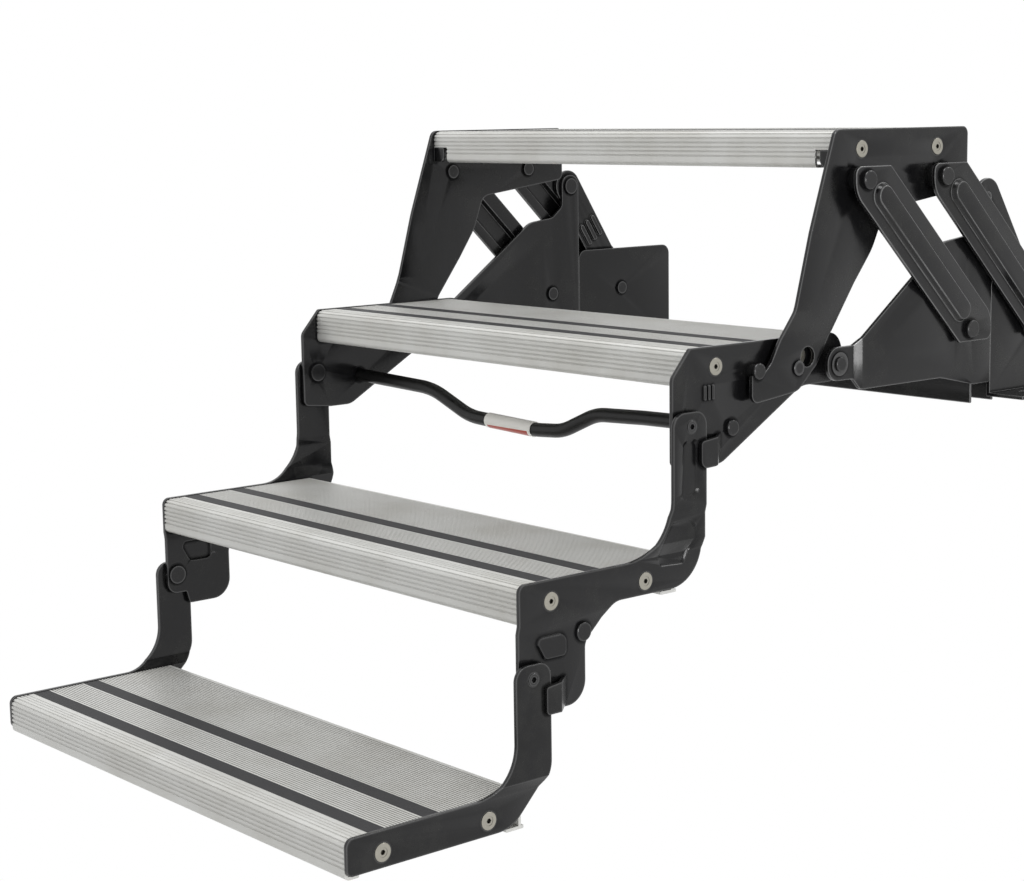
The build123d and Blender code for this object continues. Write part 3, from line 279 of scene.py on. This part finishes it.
def coated_steel(body, *names):
    """Shows a copy of each CAD node with its cut edges eased, and coated."""
    for name in names:
        piece = bpy.data.objects.new(name + "_coated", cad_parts[name].data.copy())
        bpy.context.scene.collection.objects.link(piece)
        bpy.ops.object.select_all(action="DESELECT")
        piece.select_set(True)
        bpy.context.view_layer.objects.active = piece
        bpy.ops.object.mode_set(mode="EDIT")
        bpy.ops.mesh.select_all(action="SELECT")
        bpy.ops.mesh.remove_doubles(threshold=MERGE_WITHIN)
        bpy.ops.mesh.dissolve_limited(angle_limit=math.radians(FLAT_WITHIN))
        bpy.ops.object.mode_set(mode="OBJECT")
        piece.data.materials.clear()
        piece.data.materials.append(steel_coat)
        piece.data.materials.append(edge_highlight_coat)
        ease = piece.modifiers.new("eased_edges", "BEVEL")
        ease.width = EDGE_ROUND
        ease.segments = EDGE_STEPS
        ease.limit_method = "ANGLE"
        ease.angle_limit = math.radians(EDGE_FROM_ANGLE)
        # The eased edges take the paler coat, a painted highlight
        ease.material = 1
        bpy.ops.object.modifier_apply(modifier=ease.name)
        bpy.ops.object.shade_smooth_by_angle(angle=math.radians(SMOOTH_TO_ANGLE))
        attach(piece, body)
        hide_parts(name)


coated_steel("base_frame", "base_bracket_left", "base_bracket_right", "base_side_plate_left",
             "base_side_plate_right", "base_rear_brace_left", "base_rear_brace_right",
             "base_cross_member")

# Links: two pairs of pressed bars with a raised rib, in the same sheet and coat. They
# carry the top step's brackets on the base, and turn on shouldered pins.
coated_steel("front_links", "front_link_left", "front_link_right")
coated_steel("rear_links", "rear_link_left", "rear_link_right")

# Brackets of the top step: one sheet each, folded at the foot and creased along the leg,
# with a notch that catches the second step's stop stud.
coated_steel("step_1", "step_1_bracket_left", "step_1_bracket_right")

# Side plates of the lower steps: sheet screwed to the ends of the treads, with pressed
# pads and bent stop tabs. The second step pivots on studs in the brackets' feet, and the
# third and fourth on rivets at the tops of their legs.
coated_steel("step_2", "step_2_plate_left", "step_2_plate_right")
coated_steel("step_3", "step_3_plate_left", "step_3_plate_right")
coated_steel("step_4", "step_4_plate_left", "step_4_plate_right")

# Pins, rivets, studs, spacers and bump buttons: turned steel under the same black coat,
# which handling has left a little shinier.
PIN_BLACK = hex_linear("#161617")
PIN_ROUGHNESS = 0.18


def give_finish(finish, *names):
    """Gives CAD nodes that are shown as they are their one material."""
    for name in names:
        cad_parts[name].data.materials.clear()
        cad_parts[name].data.materials.append(finish)


pin_coat = powder_coat("black_pin_coat", PIN_BLACK, PIN_ROUGHNESS)
give_finish(pin_coat, "base_pivot_pins", "base_bracket_rivets", "link_top_pins",
            "link_spacers", "step_2_pivot_studs", "step_2_pivot_spacers",
            "step_2_stop_studs", "pull_handle_bolts", "step_3_pivot_rivets",
            "step_3_pivot_washers", "step_3_bump_stops", "step_4_pivot_rivets",
            "step_4_pivot_washers")

# Treads: extruded aluminium, anodised satin silver, ribbed on top and grooved on the nose.
# The die leaves faint lines along their length, dust lies in patches, and painted shade
# darkens the grooves. The metal is shown a little matt, as its oxide film scatters light.
SILVER = hex_linear("#C8C8C5")
SILVER_DUSTY = hex_linear("#B9B8B3")
# Colour of the painted shade in the grooves
GROOVE_SHADE = hex_linear("#4A4844")
SILVER_METALLIC = 0.42
SILVER_SMOOTHEST = 0.42
SILVER_ROUGHEST = 0.5

# Real die lines are finer, and are drawn this coarse so that they show
DIE_LINE = 0.0006
DIE_STRETCH = 0.01
DIE_DETAIL = 1.0
DUST_SIZE = 0.09
DUST_DETAIL = 5.0
DUST_BREAKUP = 0.6
DUST_FROM = 0.42
DUST_TO = 0.75
GROOVE_REACH = 0.0015
GROOVE_DEEP = 0.3
GROOVE_OPEN = 0.78

silver_anodised = bpy.data.materials.new("anodised_aluminium")
tree = bare_tree(silver_anodised)
place = add_node(tree, "ShaderNodeTexCoord", {}, {}).outputs["Object"]
along = add_node(tree, "ShaderNodeMapping", {}, {"Vector": place, "Scale": (DIE_STRETCH, 1.0, 1.0)})
lines = add_node(tree, "ShaderNodeTexNoise", {},
                 {"Vector": along.outputs[0], "Scale": 1 / DIE_LINE, "Detail": DIE_DETAIL})
dust = add_node(tree, "ShaderNodeTexNoise", {},
                {"Vector": place, "Scale": 1 / DUST_SIZE, "Detail": DUST_DETAIL,
                 "Roughness": DUST_BREAKUP})
dusty = add_node(tree, "ShaderNodeMapRange", {},
                 {"Value": dust.outputs[0], "From Min": DUST_FROM, "From Max": DUST_TO})
tint = add_node(tree, "ShaderNodeMix", {"data_type": "RGBA"},
                {0: dusty.outputs[0], 6: SILVER, 7: SILVER_DUSTY})
# Painted shade: the grooves are darkened where little open space is near
sheltered = add_node(tree, "ShaderNodeAmbientOcclusion", {"samples": SHELTER_SAMPLES},
                     {"Distance": GROOVE_REACH})
unshaded = add_node(tree, "ShaderNodeMapRange", {},
                 {"Value": sheltered.outputs["AO"],
                  "From Min": GROOVE_DEEP, "From Max": GROOVE_OPEN})
grooved = add_node(tree, "ShaderNodeMix", {"data_type": "RGBA"},
                   {0: unshaded.outputs[0], 6: GROOVE_SHADE, 7: tint.outputs[2]})
satin = add_node(tree, "ShaderNodeMapRange", {},
                 {"Value": lines.outputs[0],
                  "To Min": SILVER_SMOOTHEST, "To Max": SILVER_ROUGHEST})
metal = add_node(tree, "ShaderNodeBsdfPrincipled", {},
                 {"Base Color": grooved.outputs[2], "Metallic": SILVER_METALLIC,
                  "Roughness": satin.outputs[0]})
add_node(tree, "ShaderNodeOutputMaterial", {}, {"Surface": metal.outputs[0]})
give_finish(silver_anodised, "tread_1", "tread_2", "tread_3", "tread_4")

# Grip strips: dark plastic tape with a hard grit, pressed into the treads' channels. Each
# grain stands up a little, with a paler crown. Real grit is finer, and is drawn this
# coarse so that it shows.
GRIT_LOW = hex_linear("#161617")
GRIT_HIGH = hex_linear("#2C2C2E")
GRIT_SIZE = 0.0009
GRIT_HEIGHT = 0.0002
GRIT_STRENGTH = 0.4
TAPE_ROUGHNESS = 0.62
TAPE_GLOSS = 0.3

grit_tape = bpy.data.materials.new("dark_grit_tape")
tree = bare_tree(grit_tape)
place = add_node(tree, "ShaderNodeTexCoord", {}, {}).outputs["Object"]
grains = add_node(tree, "ShaderNodeTexVoronoi", {}, {"Vector": place, "Scale": 1 / GRIT_SIZE})
crowns = add_node(tree, "ShaderNodeMapRange", {},
                  {"Value": grains.outputs["Distance"], "To Min": 1.0, "To Max": 0.0})
tint = add_node(tree, "ShaderNodeMix", {"data_type": "RGBA"},
                {0: crowns.outputs[0], 6: GRIT_LOW, 7: GRIT_HIGH})
bump = add_node(tree, "ShaderNodeBump", {},
                {"Strength": GRIT_STRENGTH, "Distance": GRIT_HEIGHT, "Height": crowns.outputs[0]})
tape = add_node(tree, "ShaderNodeBsdfPrincipled", {},
                {"Base Color": tint.outputs[2], "Roughness": TAPE_ROUGHNESS,
                 "Specular IOR Level": TAPE_GLOSS, "Normal": bump.outputs[0]})
add_node(tree, "ShaderNodeOutputMaterial", {}, {"Surface": tape.outputs[0]})
give_finish(grit_tape, "tread_1_grip_strips", "tread_2_grip_strips", "tread_3_grip_strips",
            "tread_4_grip_strips")

# Tread screws: flat heads with a hexagon socket, bright zinc on steel, a little cloudy.
# They hold the plates to the treads' ends, and painted shade darkens their sockets.
ZINC = hex_linear("#9F9C92")
# Colour of the painted shade in the sockets
SOCKET_SHADE = hex_linear("#1E1C19")
ZINC_METALLIC = 0.9
CLOUD_SIZE = 0.004
CLOUD_DETAIL = 3.0
CLOUD_FROM = 0.3
CLOUD_TO = 0.7
ZINC_SMOOTHEST = 0.28
ZINC_ROUGHEST = 0.5
SOCKET_REACH = 0.004
SOCKET_DEEP = 0.35
SOCKET_OPEN = 0.85

bright_zinc = bpy.data.materials.new("bright_zinc_plate")
tree = bare_tree(bright_zinc)
place = add_node(tree, "ShaderNodeTexCoord", {}, {}).outputs["Object"]
cloud = add_node(tree, "ShaderNodeTexNoise", {},
                 {"Vector": place, "Scale": 1 / CLOUD_SIZE, "Detail": CLOUD_DETAIL})
haze = add_node(tree, "ShaderNodeMapRange", {},
                {"Value": cloud.outputs[0], "From Min": CLOUD_FROM, "From Max": CLOUD_TO,
                 "To Min": ZINC_SMOOTHEST, "To Max": ZINC_ROUGHEST})
# Painted shade: the sockets are darkened where little open space is near
sheltered = add_node(tree, "ShaderNodeAmbientOcclusion", {"samples": SHELTER_SAMPLES},
                     {"Distance": SOCKET_REACH})
unshaded = add_node(tree, "ShaderNodeMapRange", {},
                 {"Value": sheltered.outputs["AO"],
                  "From Min": SOCKET_DEEP, "From Max": SOCKET_OPEN})
socket_shaded = add_node(tree, "ShaderNodeMix", {"data_type": "RGBA"},
                  {0: unshaded.outputs[0], 6: SOCKET_SHADE, 7: ZINC})
zinc = add_node(tree, "ShaderNodeBsdfPrincipled", {},
                {"Base Color": socket_shaded.outputs[2], "Metallic": ZINC_METALLIC,
                 "Roughness": haze.outputs[0]})
add_node(tree, "ShaderNodeOutputMaterial", {}, {"Surface": zinc.outputs[0]})
give_finish(bright_zinc, "tread_1_screws", "tread_2_screws", "tread_3_screws",
            "tread_4_screws")

# Pull handle: a round steel bar, bent cold and coated in satin black, and bolted at its
# ends to the second step's side plates.
HANDLE_BLACK = hex_linear("#0E0E0E")
HANDLE_ROUGHNESS = 0.34

handle_coat = powder_coat("black_handle_coat", HANDLE_BLACK, HANDLE_ROUGHNESS)
give_finish(handle_coat, "pull_handle")

# Band on the handle: a glossy printed wrap, white with a red stripe along its lower
# side, and bare of words. The stripe stops short of both ends.
WRAP_WHITE = hex_linear("#F3F1EB")
WRAP_RED = hex_linear("#B8432F")
WRAP_ROUGHNESS = 0.3
STRIPE_TOP = 0.36
STRIPE_END = 0.004

band_low, band_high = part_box("pull_handle_band")
stripe_z = band_low[2] + STRIPE_TOP * (band_high[2] - band_low[2])
printed_wrap = bpy.data.materials.new("printed_wrap")
tree = bare_tree(printed_wrap)
place = add_node(tree, "ShaderNodeTexCoord", {}, {}).outputs["Object"]
split = add_node(tree, "ShaderNodeSeparateXYZ", {}, {"Vector": place})
below = add_node(tree, "ShaderNodeMath", {"operation": "LESS_THAN"},
                 {0: split.outputs["Z"], 1: stripe_z})
inside = add_node(tree, "ShaderNodeMath", {"operation": "GREATER_THAN"},
                  {0: split.outputs["X"], 1: band_low[0] + STRIPE_END})
before = add_node(tree, "ShaderNodeMath", {"operation": "LESS_THAN"},
                  {0: split.outputs["X"], 1: band_high[0] - STRIPE_END})
ends = add_node(tree, "ShaderNodeMath", {"operation": "MULTIPLY"},
                {0: inside.outputs[0], 1: before.outputs[0]})
stripe = add_node(tree, "ShaderNodeMath", {"operation": "MULTIPLY"},
                  {0: below.outputs[0], 1: ends.outputs[0]})
tint = add_node(tree, "ShaderNodeMix", {"data_type": "RGBA"},
                {0: stripe.outputs[0], 6: WRAP_WHITE, 7: WRAP_RED})
wrap = add_node(tree, "ShaderNodeBsdfPrincipled", {},
                {"Base Color": tint.outputs[2], "Roughness": WRAP_ROUGHNESS})
add_node(tree, "ShaderNodeOutputMaterial", {}, {"Surface": wrap.outputs[0]})
give_finish(printed_wrap, "pull_handle_band")
